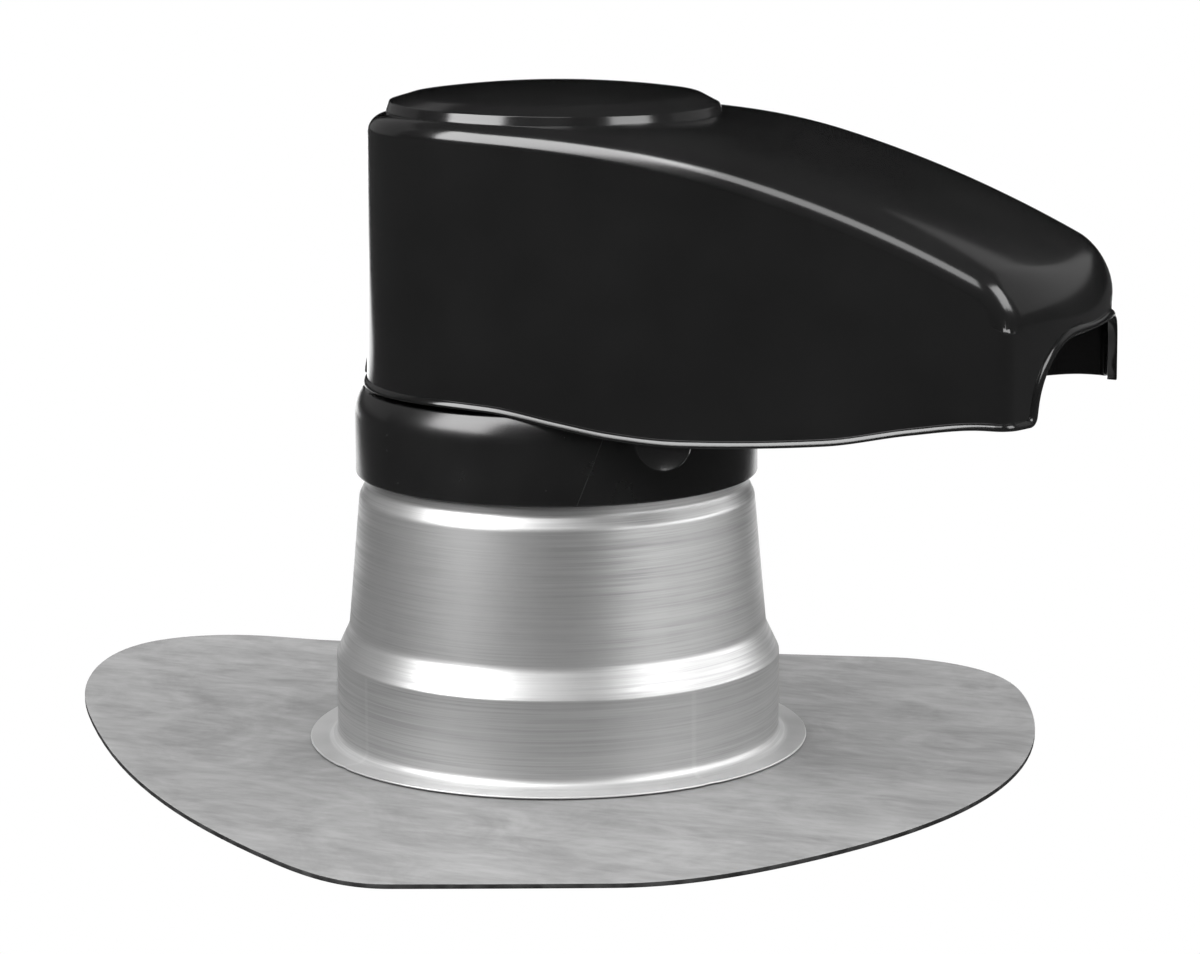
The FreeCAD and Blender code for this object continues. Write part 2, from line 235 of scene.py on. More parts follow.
def addRange(tree, value, fromLow, fromHigh, toLow=0.0, toHigh=1.0, smooth=False):
    remap = tree.nodes.new("ShaderNodeMapRange")
    if smooth:
        remap.interpolation_type = "SMOOTHSTEP"
    limits = {"From Min": fromLow, "From Max": fromHigh, "To Min": toLow, "To Max": toHigh}
    for label, limit in limits.items():
        remap.inputs[label].default_value = limit
    tree.links.new(value, remap.inputs["Value"])
    return remap.outputs["Result"]


def addMath(tree, operation, first, second):
    node = tree.nodes.new("ShaderNodeMath")
    node.operation = operation
    for socket, source in zip(node.inputs, (first, second)):
        if isinstance(source, (int, float)):
            socket.default_value = source
        else:
            tree.links.new(source, socket)
    return node.outputs[0]


def addStretch(tree, scale, turn=(0, 0, 0)):
    # Object coordinates, stretched or turned
    coordinates = tree.nodes.new("ShaderNodeTexCoord")
    mapping = tree.nodes.new("ShaderNodeMapping")
    mapping.inputs["Rotation"].default_value = [math.radians(angle) for angle in turn]
    mapping.inputs["Scale"].default_value = scale
    tree.links.new(coordinates.outputs["Object"], mapping.inputs["Vector"])
    return mapping.outputs["Vector"]


def addUprightLine(tree, bearing, slope, middle, halfWidth, top):
    # Mask of a line that runs up a turned wall at a bearing, leaning by slope about its middle height
    core = 0.3 * halfWidth
    fade = 1.0
    place = tree.nodes.new("ShaderNodeSeparateXYZ")
    tree.links.new(addStretch(tree, (1, 1, 1), (0, 0, -bearing)), place.inputs[0])
    lean = addMath(tree, "MULTIPLY", addMath(tree, "SUBTRACT", place.outputs["Z"], middle * mm), slope)
    off = addMath(tree, "ABSOLUTE", addMath(tree, "SUBTRACT", place.outputs["Y"], lean), 0)
    line = addRange(tree, off, core * mm, halfWidth * mm, 1.0, 0.0, smooth=True)
    facing = addMath(tree, "GREATER_THAN", place.outputs["X"], 0)
    below = addRange(tree, place.outputs["Z"], (top - fade) * mm, top * mm, 1.0, 0.0)
    return addMath(tree, "MULTIPLY", line, addMath(tree, "MULTIPLY", facing, below))


def addLayers(tree, layers):
    # Several stretched noises, added by weight
    total = None
    for layer in layers:
        vector = addStretch(tree, layer["stretch"], (0, 0, layer.get("turn", 0)))
        noise = addNoise(tree, vector, layer.get("scale", 1.0), layer["detail"],
                         layer.get("roughness", 0.55), layer.get("swirl", 0.0))
        part = addMath(tree, "MULTIPLY", noise, layer["weight"])
        total = part if total is None else addMath(tree, "ADD", total, part)
    return total


def addMix(tree, share, dark, light):
    # Inputs 6 and 7 and output 2 are the Mix node's colours
    mix = tree.nodes.new("ShaderNodeMix")
    mix.data_type = "RGBA"
    for socket, source in ((mix.inputs[0], share), (mix.inputs[6], dark), (mix.inputs[7], light)):
        if isinstance(source, (int, float)):
            socket.default_value = source
        elif isinstance(source, tuple):
            socket.default_value = (*source, 1)
        else:
            tree.links.new(source, socket)
    return mix.outputs[2]


def grey(level):
    return (level, level, level)


def makeMouldedSkin():
    # Moulded plastic: slow mottling, a fine skin and scattered dust
    spotSize = 0.12
    mottleDetail = 5
    skinDetail = 2
    group, start, end = newGroup(
        "mouldedSkin",
        [("Mottle Scale", 14), ("Skin Scale", 900), ("Dust Scale", 260), ("Dust Share", 0.06)],
        [("Mottle", "NodeSocketFloat"), ("Skin", "NodeSocketFloat"), ("Dust", "NodeSocketFloat")],
    )
    plain = addStretch(group, (1, 1, 1))
    mottle = addNoise(group, plain, start.outputs["Mottle Scale"], mottleDetail)
    skin = addNoise(group, plain, start.outputs["Skin Scale"], skinDetail)
    cells = group.nodes.new("ShaderNodeTexVoronoi")
    group.links.new(start.outputs["Dust Scale"], cells.inputs["Scale"])
    group.links.new(plain, cells.inputs["Vector"])
    spot = addRange(group, cells.outputs["Distance"], 0.0, spotSize, 1.0, 0.0, smooth=True)
    pick = group.nodes.new("ShaderNodeSeparateColor")
    group.links.new(cells.outputs["Color"], pick.inputs[0])
    chosen = addMath(group, "LESS_THAN", pick.outputs[0], start.outputs["Dust Share"])
    dust = addMath(group, "MULTIPLY", spot, chosen)
    group.links.new(mottle, end.inputs["Mottle"])
    group.links.new(skin, end.inputs["Skin"])
    group.links.new(dust, end.inputs["Dust"])
    return group


def placeGroup(tree, group, values):
    node = tree.nodes.new("ShaderNodeGroup")
    node.node_tree = group
    for label, value in values.items():
        node.inputs[label].default_value = value
    return node


def newFinish(name):
    material = bpy.data.materials.new(name)
    material.use_nodes = True
    tree = material.node_tree
    shader = tree.nodes["Principled BSDF"]
    return material, tree, shader


def toneFrom(tree, pattern, finish):
    share = addRange(tree, pattern, *finish["toneRange"])
    return addMix(tree, share, grey(finish["dark"]), grey(finish["light"]))


def roughFrom(tree, shader, pattern, finish):
    rough = addRange(tree, pattern, *finish["roughRange"], *finish["rough"])
    tree.links.new(rough, shader.inputs["Roughness"])


def bumpFrom(tree, shader, pattern, finish):
    bump = tree.nodes.new("ShaderNodeBump")
    bump.inputs["Strength"].default_value = finish["bump"]
    bump.inputs["Distance"].default_value = finish["bumpHeight"] * mm
    tree.links.new(pattern, bump.inputs["Height"])
    tree.links.new(bump.outputs["Normal"], shader.inputs["Normal"])


mouldedSkin = makeMouldedSkin()
print("shader groups ready")


plasticFinish = {"toneRange": (0.35, 0.7), "roughRange": (0.3, 0.7), "bumpHeight": 0.1, "dustCover": 0.6}


def mouldedPlastic(name, ownFinish):
    # Black plastic, with its own tones, dust, gloss and scale of skin
    finish = {**plasticFinish, **ownFinish}
    material, tree, shader = newFinish(name)
    skin = placeGroup(tree, mouldedSkin, finish["skin"])
    tone = toneFrom(tree, skin.outputs["Mottle"], finish)
    dust = addMath(tree, "MULTIPLY", skin.outputs["Dust"], finish["dustCover"])
    tone = addMix(tree, dust, tone, grey(finish["dust"]))
    if "hairline" in finish:
        hairline = addUprightLine(tree, **finish["hairline"])
        hairline = addMath(tree, "MULTIPLY", hairline, finish["hairCover"])
        tone = addMix(tree, hairline, tone, grey(finish["hairTone"]))
    tree.links.new(tone, shader.inputs["Base Color"])
    roughFrom(tree, shader, skin.outputs["Mottle"], finish)
    bumpFrom(tree, shader, skin.outputs["Skin"], finish)
    return material


def layeredFinish(name, finish):
    # A matt surface whose tone, roughness and bump follow one pattern
    material, tree, shader = newFinish(name)
    pattern = addLayers(tree, finish["layers"])
    tree.links.new(toneFrom(tree, pattern, finish), shader.inputs["Base Color"])
    roughFrom(tree, shader, pattern, finish)
    bumpFrom(tree, shader, pattern, finish)
    return material


# Hood

hood = {
    "rearRadius": 84.5, "sideTaper": 1.9, "length": 248.2, "bowRadius": 200.0, "wall": 2.5, "draft": 1.0,
    "deck": 162.5, "edgeRadius": 8.0, "frontEdgeRadius": 14.2,
    "roofTop": 285.6, "roofFall": 75.0, "roofPeakX": -31.0,
    # The crown is flat across and rolls down near the sides
    "roofCrown": 10.5, "crownStart": -27.0, "crownRun": 141.0, "crownPower": 5,
    # The rim's lower edge, as places along the hood and their heights
    "rim": [(-104.5, 164.4), (-42.2, 164.4), (6, 163.6), (36.8, 158.9), (61, 155.5), (92, 154.1),
            (156.4, 158.7), (192.2, 165.4), (224, 169.3), (268.2, 169.3)],
    "archFoot": 169.3, "archHeight": 33.4, "archFootHalf": 60.6, "archLean": 12.0,
    "archCorner": 32.0, "archFootRounding": 5.0, "archMargin": 2.0,
    # Rim bead: offset out from the wall and height above the rim's lower edge
    "bead": [(-2.5, 0.5), (-2.5, 0.25), (-2.3, 0.06), (-2.0, 0.0), (1.2, 0.0), (1.45, 0.05), (1.6, 0.17),
             (1.66, 0.35), (1.66, 0.6), (1.61, 0.95), (1.52, 1.3), (1.39, 1.65), (1.22, 2.0), (1.0, 2.35),
             (0.72, 2.65), (0.35, 2.88), (0.0, 3.0)],
    "beadRoom": 0.1,
    # Columns across the nose: first offset, pitch and count, then a few more up to the corner
    "noseColumns": [(0, 2.5, 9), (22, 0.7, 40), (50, 0.25, 64)], "noseEnd": 66.0, "noseEndSteps": 4,
    "cornerSteps": 22, "nearCorner": 14.0, "nearSteps": 16, "sideSteps": 68, "rearSteps": 60,
    # Bearing on the cap's seat that the nose and its corner spread over, and the nose's share of it
    "noseSpread": 14.0, "noseShare": 0.8,
    "bendRows": 14, "roofRows": 22, "innerBendRows": 8, "innerRoofRows": 10,
    "wallRows": 10, "innerWallRows": 6, "wallLoop": 0.004,
    "bendReach": 60.0, "bendStep": 0.25, "bendLimit": 0.95, "roofSpacing": 1.3, "smoothAngle": 40,
    "finish": {
        "skin": {"Mottle Scale": 22, "Skin Scale": 1100, "Dust Scale": 420, "Dust Share": 0.05},
        "dark": 0.0058, "light": 0.0076, "dust": 0.025, "rough": (0.13, 0.17), "bump": 0.04,
    },
}
capSizes = {
    "radius": 74.4, "wall": 4.0, "skin": 1.8, "lean": 1.6, "rim": 4.6, "shoulderInset": 8.8,
    "shoulderHeight": 3.7, "shoulderRadius": 14.0, "dome": 4.7, "domeRows": 20, "domeStart": 4.0, "edge": 0.6,
    "seat": 284.31, "tilt": 0.7, "rimTilt": 0.75, "steps": 256,
    # Shadow gap under the rim, and how far its foot stands in
    "gap": 0.4, "gapDepth": 0.8, "footInset": 0.9, "gapEdge": 0.2, "wallMargin": 0.5,
    # Pocket or plinth in the hood's roof, and the ring that centres the cap
    "plinthStep": 0.4, "pocketBlend": 0.6, "seatRounding": 0.3, "roundingKnee": 0.3, "seatLoop": 0.4,
    "ringHeight": 1.2, "ringWall": 2.5, "clearance": 0.3, "underShares": (1, 0.85, 0.5, 0), "underGap": 0.3,
    "finish": {
        "skin": {"Mottle Scale": 30, "Skin Scale": 1300, "Dust Scale": 420, "Dust Share": 0.10},
        "dark": 0.0058, "light": 0.0080, "dust": 0.05, "rough": (0.13, 0.17), "bump": 0.04,
    },
}
bowCentre = Vector((hood["length"] - hood["bowRadius"], 0))
sideTurn = math.radians(hood["sideTaper"])
sideNormal = Vector((math.sin(sideTurn), math.cos(sideTurn)))
sideAlong = Vector((math.cos(sideTurn), -math.sin(sideTurn)))
draftSlope = math.tan(math.radians(hood["draft"]))


def sideCorner(inset):
    # Where the tapered side meets the bowed front, both moved in by the inset
    tangent = sideNormal * (hood["rearRadius"] - inset)
    offset = tangent - bowCentre
    ahead = offset.dot(sideAlong)
    reach = math.sqrt(ahead ** 2 - offset.dot(offset) + (hood["bowRadius"] - inset) ** 2) - ahead
    return tangent + sideAlong * reach


cornerCentre = sideCorner(hood["edgeRadius"])


def roofHeight(x, y):
    run = hood["length"] - hood["roofPeakX"]
    arcRadius = (run ** 2 + hood["roofFall"] ** 2) / (2 * hood["roofFall"])
    ahead = x - hood["roofPeakX"]
    arc = math.sqrt(arcRadius ** 2 - ahead ** 2) - arcRadius
    crown = hood["roofCrown"] * smoothStep((x - hood["crownStart"]) / hood["crownRun"])
    crown *= 1 - abs(y / hood["rearRadius"]) ** hood["crownPower"]
    lean = math.sqrt(1 - (ahead / arcRadius) ** 2)
    return hood["roofTop"] + arc + crown, lean


def drawnIn(x, y):
    # How far the draft has brought the walls in where they reach the roof's rounding
    height = roofHeight(x, y)[0] - hood["edgeRadius"]
    return (height - hood["deck"]) * draftSlope


def sideDepth(x, y):
    # How far a point lies inside the sides and the back
    if x * sideAlong.x + abs(y) * sideAlong.y > 0:
        return hood["rearRadius"] - x * sideNormal.x - abs(y) * sideNormal.y
    return hood["rearRadius"] - math.hypot(x, y)


def topHeight(x, y, inset):
    # Roof with its edges rounded: the front edge first, then the run round the sides and the back
    edge = hood["edgeRadius"] - inset
    front = hood["frontEdgeRadius"] - inset
    wallIn = inset + drawnIn(x, y)
    toSide = max(edge - sideDepth(x, y) + wallIn, 0)
    toFront = max(front - hood["bowRadius"] + math.hypot(x - bowCentre.x, y) + wallIn, 0)
    near = edge - math.sqrt(max(edge ** 2 - toSide ** 2, 0))
    drop = front - math.sqrt(max((front - near) ** 2 - toFront ** 2, 0))
    height, lean = roofHeight(x, y)
    return height - inset - drop / lean


def waveHeight(x):
    # Smooth curve through the rim's places, level where two neighbours are level
    places = hood["rim"]
    i = 1
    while i < len(places) - 1 and places[i][0] < x:
        i += 1
    slopes = []
    for j in (i - 1, i):
        low = places[max(j - 1, 0)]
        high = places[min(j + 1, len(places) - 1)]
        level = places[j][1] in (low[1], high[1])
        slopes.append(0 if level else (high[1] - low[1]) / (high[0] - low[0]))
    start = places[i - 1]
    end = places[i]
    run = end[0] - start[0]
    t = min(max((x - start[0]) / run, 0), 1)
    rise = (2 * t ** 3 - 3 * t ** 2 + 1) * start[1] + (3 * t ** 2 - 2 * t ** 3) * end[1]
    bend = (t ** 3 - 2 * t ** 2 + t) * slopes[0] + (t ** 3 - t ** 2) * slopes[1]
    return rise + bend * run


def archEdge(y, lift):
    # Height of the front opening's edge, moved into the wall by lift
    lean = math.tan(math.radians(hood["archLean"]))
    slant = math.sqrt(1 + lean ** 2)
    foot = hood["archFoot"]
    spread = hood["archFootHalf"] + lift * slant
    radius = hood["archCorner"] + lift
    top = foot + hood["archHeight"] + lift
    centreZ = top - radius
    centreY = spread - lean * (centreZ - foot) - radius * slant
    footing = hood["archFootRounding"]
    footY = hood["archFootHalf"] + footing * (slant - lean)
    footing -= lift
    if y <= centreY:
        return top
    if y <= centreY + radius / slant:
        return centreZ + math.sqrt(radius ** 2 - (y - centreY) ** 2)
    if y <= footY - footing / slant:
        return foot + (spread - y) / lean
    if y <= footY:
        return foot + hood["archFootRounding"] - math.sqrt(max(footing ** 2 - (y - footY) ** 2, 0))
    return foot + lift


def rimHeight(x, y, lift):
    if x > cornerCentre.x - hood["archMargin"]:
        return max(archEdge(abs(y), lift), waveHeight(x) + lift)
    return waveHeight(x) + lift


def hoodStations():
    # Half of the plan from the nose to the back: point, outward normal and bearing on the cap's seat
    half = []
    bowEnd = math.atan2(cornerCentre.y, cornerCentre.x - bowCentre.x)
    lastY = hood["bowRadius"] * math.sin(bowEnd)
    spread = math.radians(hood["noseSpread"])
    noseShare = hood["noseShare"]
    offsets = []
    for first, pitch, count in hood["noseColumns"]:
        offsets += [first + pitch * i for i in range(count)]
    noseEnd = hood["noseEnd"]
    endSteps = hood["noseEndSteps"]
    offsets += [noseEnd + (lastY - noseEnd) * i / endSteps for i in range(endSteps + 1)]
    for y in offsets:
        normal = heading(math.asin(y / hood["bowRadius"]))
        half.append((bowCentre + normal * hood["bowRadius"], normal, spread * noseShare * y / lastY))
    sideBearing = math.pi / 2 - sideTurn
    cornerSteps = hood["cornerSteps"]
    for i in range(1, cornerSteps + 1):
        normal = heading(bowEnd + (sideBearing - bowEnd) * i / cornerSteps)
        point = cornerCentre + normal * hood["edgeRadius"]
        half.append((point, normal, spread * (noseShare + (1 - noseShare) * i / cornerSteps)))
    sideEnd = half[-1][0]
    length = (sideEnd - sideNormal * hood["rearRadius"]).length
    nearCorner = hood["nearCorner"]
    nearSteps = hood["nearSteps"]
    sideSteps = hood["sideSteps"]
    runs = [nearCorner * (i / nearSteps) ** 2 for i in range(1, nearSteps + 1)]
    runs += [nearCorner + (length - nearCorner) * i / sideSteps for i in range(1, sideSteps + 1)]
    for run in runs:
        bearing = spread + (sideBearing - spread) * run / length
        half.append((sideEnd - sideAlong * run, sideNormal, bearing))
    rearSteps = hood["rearSteps"]
    for i in range(1, rearSteps + 1):
        bearing = sideBearing + (math.pi - sideBearing) * i / rearSteps
        normal = heading(bearing)
        half.append((normal * hood["rearRadius"], normal, bearing))
    return half


def seatHeight(x):
    return capSizes["seat"] - math.tan(math.radians(capSizes["tilt"])) * x


def bendLength(start, way):
    # How far the rounded edge reaches in from the wall
    length = 0
    while length < hood["bendReach"]:
        point = start + way * length
        wallIn = drawnIn(point.x, point.y)
        fromFront = hood["bowRadius"] - (point - bowCentre).length - wallIn
        fromSide = sideDepth(point.x, point.y) - wallIn
        if fromSide >= hood["edgeRadius"] and fromFront >= hood["frontEdgeRadius"]:
            break
        length += hood["bendStep"]
    return length


def roofRun(start, end, inset, bendRows, roofRows):
    # From the top of the wall over the rounded edge to the cap's seat
    whole = (end - start).length
    way = (end - start).normalized()
    bend = min(bendLength(start, way), whole * hood["bendLimit"])
    spacing = hood["roofSpacing"]
    stations = [bend * (1 - math.cos(math.pi / 2 * i / bendRows)) for i in range(bendRows)]
    stations += [bend + (whole - bend) * (i / roofRows) ** spacing for i in range(roofRows + 1)]
    points = []
    for station in stations:
        place = start + way * station
        points.append(Vector((place.x, place.y, topHeight(place.x, place.y, inset))))
    return points


def seatRun(bearing):
    # Pocket or plinth wall, the seat, the ring that centres the cap, and on to the axis
    way = heading(bearing)
    radius = capSizes["radius"]
    edge = way * radius
    drop = topHeight(edge.x, edge.y, 0) - seatHeight(edge.x)
    share = min(max(drop / capSizes["pocketBlend"], -1), 1)
    inPocket = (share + 1) / 2
    radius += capSizes["clearance"] * inPocket - capSizes["plinthStep"] * (1 - inPocket)
    rounding = capSizes["seatRounding"] * share
    knee = capSizes["roundingKnee"] * rounding
    ring = capSizes["radius"] - capSizes["wall"] - capSizes["clearance"]
    bore = ring - capSizes["ringWall"]
    up = capSizes["ringHeight"]
    profile = [(radius + abs(rounding), drop), (radius + abs(knee), drop - knee),
               (radius, drop - rounding), (radius, 0.5 * (drop - rounding)),
               (radius, 0), (radius - capSizes["seatLoop"], 0),
               (ring, 0), (ring, up), (bore, up), (bore, 0), (0, 0)]
    run = []
    for reach, height in profile:
        place = way * reach
        run.append(Vector((place.x, place.y, seatHeight(place.x) + height)))
    rim = way * profile[0][0]
    run[0].z = topHeight(rim.x, rim.y, 0)
    return run, rim


def underSeat(bearing):
    # Below the seat the inside of the roof lies a wall's thickness lower
    way = heading(bearing)
    reach = capSizes["radius"] + capSizes["clearance"] + hood["wall"]
    run = []
    for share in capSizes["underShares"]:
        place = way * (reach * share)
        floor = seatHeight(place.x) - hood["wall"]
        run.append(Vector((place.x, place.y, min(floor, topHeight(place.x, place.y, hood["wall"])))))
    return run, way * (reach + capSizes["underGap"])


def wallRun(low, high, rows):
    # Rows up the wall, close together at both ends
    loop = hood["wallLoop"]
    shares = [loop] + [i / rows for i in range(1, rows)] + [1 - loop]
    return [low.lerp(high, share) for share in shares]


def hoodColumn(point, normal, bearing):
    wallIn = drawnIn(point.x, point.y)
    seat, seatEdge = seatRun(bearing)
    under, underEdge = underSeat(bearing)
    outerStart = point - normal * wallIn
    innerStart = point - normal * (wallIn + hood["wall"])
    outerRoof = roofRun(outerStart, seatEdge, 0, hood["bendRows"], hood["roofRows"])
    innerRoof = roofRun(innerStart, underEdge, hood["wall"], hood["innerBendRows"], hood["innerRoofRows"])
    room = outerRoof[0].z - rimHeight(point.x, point.y, 0)
    squeeze = min(1, (room - hood["beadRoom"]) / hood["bead"][-1][1])
    bead = []
    for out, lift in hood["bead"]:
        drawn = (rimHeight(point.x, point.y, lift) - hood["deck"]) * draftSlope
        place = point + normal * (out - drawn)
        bead.append(Vector((place.x, place.y, rimHeight(place.x, place.y, lift * squeeze))))
    column = under[::-1] + innerRoof[::-1]
    column += wallRun(bead[0], innerRoof[0], hood["innerWallRows"])[::-1]
    column += bead
    column += wallRun(bead[-1], outerRoof[0], hood["wallRows"])
    column += outerRoof + seat[1:]
    return column


lugSizes = {
    "x": 84.5, "z": 155.6, "radius": 12.3, "root": 1.5, "rim": 154.1, "top": 155.35,
    "bevel": 0.25, "lip": 0.4, "rootSteps": 6, "arcSteps": 30,
}
catchSizes = {
    "width": 17.0, "depth": 7.4, "height": 20.0, "foot": 163.4, "bevel": 0.9,
    # How far the back slopes in, at a height above the foot
    "slope": [(0.0, 0.0), (0.2, 3.0), (1.4, 8.5), (3.6, 14.8)],
}
ribSizes = {
    "thickness": 2.5, "inside": 65.6, "deck": 162.5, "foot": 10.7, "rise": 4.6, "height": 24.0,
    "innerHeight": 16.0, "root": 2.0, "angles": (60, 100, 140, 180, 220, 260, 300), "bevel": 0.3,
}


def lugOutline():
    # Half round below the rim, with a small blend on each side
    centreZ = lugSizes["z"]
    drop = centreZ - lugSizes["rim"] + lugSizes["root"]
    turn = lugSizes["radius"] + lugSizes["root"]
    reach = math.sqrt(turn ** 2 - drop ** 2)
    lean = math.atan2(drop, reach)
    rootSteps = lugSizes["rootSteps"]
    left = [(-reach, lugSizes["top"])]
    for i in range(rootSteps + 1):
        bearing = math.pi / 2 - (math.pi / 2 - lean) * i / rootSteps
        left.append((-reach + lugSizes["root"] * math.cos(bearing),
                     centreZ - drop + lugSizes["root"] * math.sin(bearing)))
    arcSteps = lugSizes["arcSteps"]
    arc = []
    for i in range(1, arcSteps):
        bearing = math.pi + lean + (math.pi - 2 * lean) * i / arcSteps
        arc.append((lugSizes["radius"] * math.cos(bearing), centreZ + lugSizes["radius"] * math.sin(bearing)))
    right = [(-x, z) for x, z in left[::-1]]
    return left + arc + right


def makeLug(side):
    # The lug lies in the thickness of the tapered side
    along = Vector((sideAlong.x, side * sideAlong.y, 0))
    out = Vector((sideNormal.x, side * sideNormal.y, 0))
    run = (lugSizes["x"] - sideNormal.x * hood["rearRadius"]) / sideAlong.x
    centre = out * (hood["rearRadius"] - hood["wall"] / 2) + along * run
    place = Matrix.Translation(centre * mm) @ Matrix((along, (0, 0, 1), out)).transposed().to_4x4()
    return plateFrom("lug", lugOutline(), place, hood["wall"], lugSizes["bevel"], lugSizes["lip"])


def makeCatch():
    outside = -hood["rearRadius"] - catchSizes["depth"]
    inside = -hood["rearRadius"] + hood["wall"] / 2
    foot = catchSizes["foot"]
    outline = [(inside, foot)]
    outline += [(outside + slope, foot + rise) for slope, rise in catchSizes["slope"]]
    outline.append((inside, foot + catchSizes["height"]))
    place = Matrix.Rotation(math.pi / 2, 4, "X")
    return plateFrom("catch", outline, place, catchSizes["width"], catchSizes["bevel"])


def makeRib(angle):
    inside = ribSizes["inside"]
    deck = ribSizes["deck"]
    outside = hood["rearRadius"] - hood["wall"] / 2
    if math.cos(math.radians(angle)) > 0:
        outside /= math.cos(math.radians(90 - min(angle, 360 - angle) - hood["sideTaper"]))
    footEnd = inside + ribSizes["foot"]
    rise = ribSizes["rise"]
    outline = [
        (inside + ribSizes["root"], deck), (footEnd, deck),
        (min(footEnd + rise, outside), deck + rise), (outside, deck + rise),
        (outside, deck + ribSizes["height"]), (min(footEnd + rise, outside), deck + ribSizes["height"]),
        (inside, deck + ribSizes["innerHeight"]), (inside, deck + ribSizes["root"]),
    ]
    place = Matrix.Rotation(math.radians(angle), 4, "Z") @ Matrix.Rotation(math.pi / 2, 4, "X")
    return plateFrom("rib", outline, place, ribSizes["thickness"], ribSizes["bevel"])


def makeHood():
    half = hoodStations()
    columns = [hoodColumn(*station) for station in half]
    mirrored = [[Vector((p.x, -p.y, p.z)) for p in column] for column in columns[-2:0:-1]]
    shell = wrapGrid("hood_shell", columns + mirrored + columns[:1], hood["smoothAngle"])
    extras = [makeLug(1), makeLug(-1), makeCatch()]
    extras += [makeRib(angle) for angle in ribSizes["angles"]]
    joinInto(shell, extras)
    return shell


hoodShell = makeHood()
finishPiece(hoodShell, "hood", "hood_plastic", mouldedPlastic("hoodPlastic", hood["finish"]))


# Cap

def capTilt(radius, height):
    # The dome is level, its rim follows the falling roof, and the foot lies flat on the seat
    shoulder = capSizes["radius"] - capSizes["lean"] - capSizes["shoulderInset"]
    if height >= capSizes["rim"] - capSizes["edge"]:
        return capSizes["rimTilt"] * smoothStep((radius - shoulder) / capSizes["shoulderInset"])
    share = max(height, 0) / capSizes["rim"]
    return capSizes["tilt"] + (capSizes["rimTilt"] - capSizes["tilt"]) * share


def makeCap():
    size = capSizes
    radius = size["radius"]
    bore = radius - size["wall"]
    rim = radius - size["lean"]
    shoulder = rim - size["shoulderInset"]
    shoulderHeight = size["rim"] + size["shoulderHeight"]
    domeRadius = (shoulder ** 2 + size["dome"] ** 2) / (2 * size["dome"])
    centre = shoulderHeight + size["dome"] - domeRadius

    def onDome(r, skin):
        return r, centre + math.sqrt((domeRadius - skin) ** 2 - r * r)

    rows = size["domeRows"]
    gap = size["gap"]
    domeStart = shoulder - size["domeStart"]
    corners = [
        (radius - size["footInset"], 0, 0),
        (radius - size["gapDepth"], gap, 0),
        (radius - gap / 3, gap, size["gapEdge"]),
        (rim, size["rim"], size["edge"]),
        (shoulder, shoulderHeight, size["shoulderRadius"]),
    ]
    corners += [(*onDome(domeStart * (1 - i / rows), 0), 0) for i in range(rows + 1)]
    corners += [(*onDome(shoulder * i / rows, size["skin"]), 0) for i in range(rows + 1)]
    corners += [(bore, size["rim"] - size["skin"], 0), (bore, 0, 0)]
    cap = turnPiece("cap_shell", roundedSection(corners), size["steps"])
    for vertex in cap.data.vertices:
        height = vertex.co.z / mm
        flat = math.hypot(vertex.co.x, vertex.co.y) / mm
        outside = flat > bore + size["wallMargin"] or height > onDome(flat, size["skin"] / 2)[1]
        tilt = capTilt(flat, height) if outside else size["tilt"]
        vertex.co.z += size["seat"] * mm - math.tan(math.radians(tilt)) * vertex.co.x
    return cap


capShell = makeCap()
finishPiece(capShell, "top_cap", "hood_plastic", mouldedPlastic("capPlastic", capSizes["finish"]))


# Collar

collarSizes = {
    "radius": 90.0, "bore": 86.3, "bottom": 124.3, "deck": 162.5, "deckBottom": 158.8, "foot": 1.0,
    "shoulder": 156.85, "shoulderRadius": 20.0, "deckRadius": 86.1,
    "spigot": 65.3, "spigotBore": 62.8, "spigotTop": 196.0, "spigotBottom": 118.0, "root": 2.0,
    "lip": 0.6, "steps": 256,
    "finish": {
        "skin": {"Mottle Scale": 35, "Skin Scale": 1500, "Dust Scale": 280, "Dust Share": 0.10},
        "dark": 0.0056, "light": 0.0078, "dust": 0.12, "rough": (0.22, 0.28), "bump": 0.08,
        # A faint lighter line slanting across the near side
        "hairline": {"bearing": -56.6, "slope": 0.4, "middle": 140.5, "halfWidth": 0.22, "top": 154.0},
        "hairTone": 0.05, "hairCover": 0.35,
    },
}


def makeCollar():
    size = collarSizes
    lip = size["lip"]
    section = roundedSection([
        (size["radius"], size["bottom"], size["foot"]),
        (size["radius"], size["shoulder"], size["shoulderRadius"]),
        (size["deckRadius"], size["deck"], size["foot"]),
        (size["spigot"], size["deck"], size["root"]),
        (size["spigot"], size["spigotTop"], lip),
        (size["spigotBore"], size["spigotTop"], lip),
        (size["spigotBore"], size["spigotBottom"], lip),
        (size["spigot"], size["spigotBottom"], lip),
        (size["spigot"], size["deckBottom"], 0),
        (size["bore"], size["deckBottom"], 0),
        (size["bore"], size["bottom"], lip),
    ])
    return turnPiece("collar_ring", section, size["steps"])


collarRing = makeCollar()
finishPiece(collarRing, "collar", "collar_plastic", mouldedPlastic("collarPlastic", collarSizes["finish"]))


# Cone

